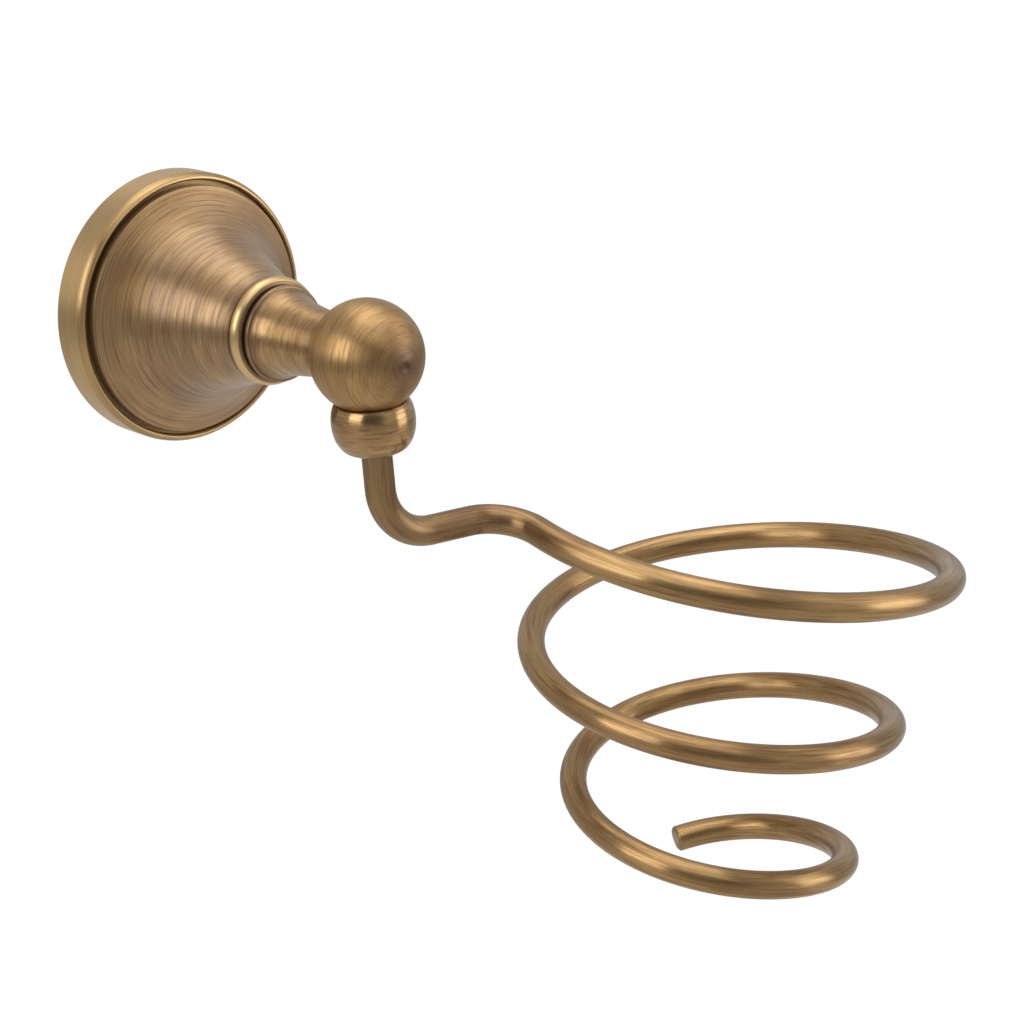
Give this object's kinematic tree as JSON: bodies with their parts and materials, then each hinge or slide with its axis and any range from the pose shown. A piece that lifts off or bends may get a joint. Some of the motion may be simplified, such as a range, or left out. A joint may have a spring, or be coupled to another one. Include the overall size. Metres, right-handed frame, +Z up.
{
  "type": "hair dryer holder",
  "caption": "Wall-mounted hair dryer holder: turned brass rosette and ball, under which a rod bent into a tapering spiral swivels to carry the dryer.",
  "frame": {"origin": "centre of the rosette's back, on the wall plane", "axes": "+Y into the wall, -Y out into the room, +Z up, +X to the right as seen from the room"},
  "size_m": [0.1602, 0.1323, 0.1665],
  "materials": {
    "antique_brass_rosette": "satin, turned, with brown patina",
    "antique_brass_neck": "satin, turned, with brown patina",
    "antique_brass_ball": "satin, turned, with brown patina",
    "antique_brass_bead": "satin, turned, with brown patina",
    "antique_brass_rod": "satin, brushed along the rod, with brown patina",
    "bright_brass_collar": "satin, rubbed bright",
    "zinc_plated_steel": "satin",
    "spring_steel": "satin",
    "black_steel": "satin, blackened",
    "acetal_bush": "matt"
  },
  "bodies": {
    "wall_side": {"wall_plate": "zinc_plated_steel", "rosette_rim": "antique_brass_rosette", "rosette_bell": "antique_brass_rosette", "grub_screw": "black_steel", "collar_ring": "bright_brass_collar", "neck": "antique_brass_neck", "neck_pins": "zinc_plated_steel", "ball_pin": "zinc_plated_steel", "ball": "antique_brass_ball", "tie_screw": "black_steel", "tie_flat_washer": "zinc_plated_steel", "tie_lock_washer": "zinc_plated_steel", "swivel_bead": "antique_brass_bead", "swivel_bush": "acetal_bush", "thrust_washer": "spring_steel", "wave_washer": "spring_steel"},
    "swivel_arm": {"spiral_rod": "antique_brass_rod", "retaining_clip": "spring_steel"}
  },
  "joints": [
    {"name": "arm_swivel", "type": "hinge", "parent": "wall_side", "child": "swivel_arm", "pos_m": [0, -0.0612, 0], "axis": [-0.0976, 0, 0.9952], "range_deg": [-168, 20]}
  ]
}
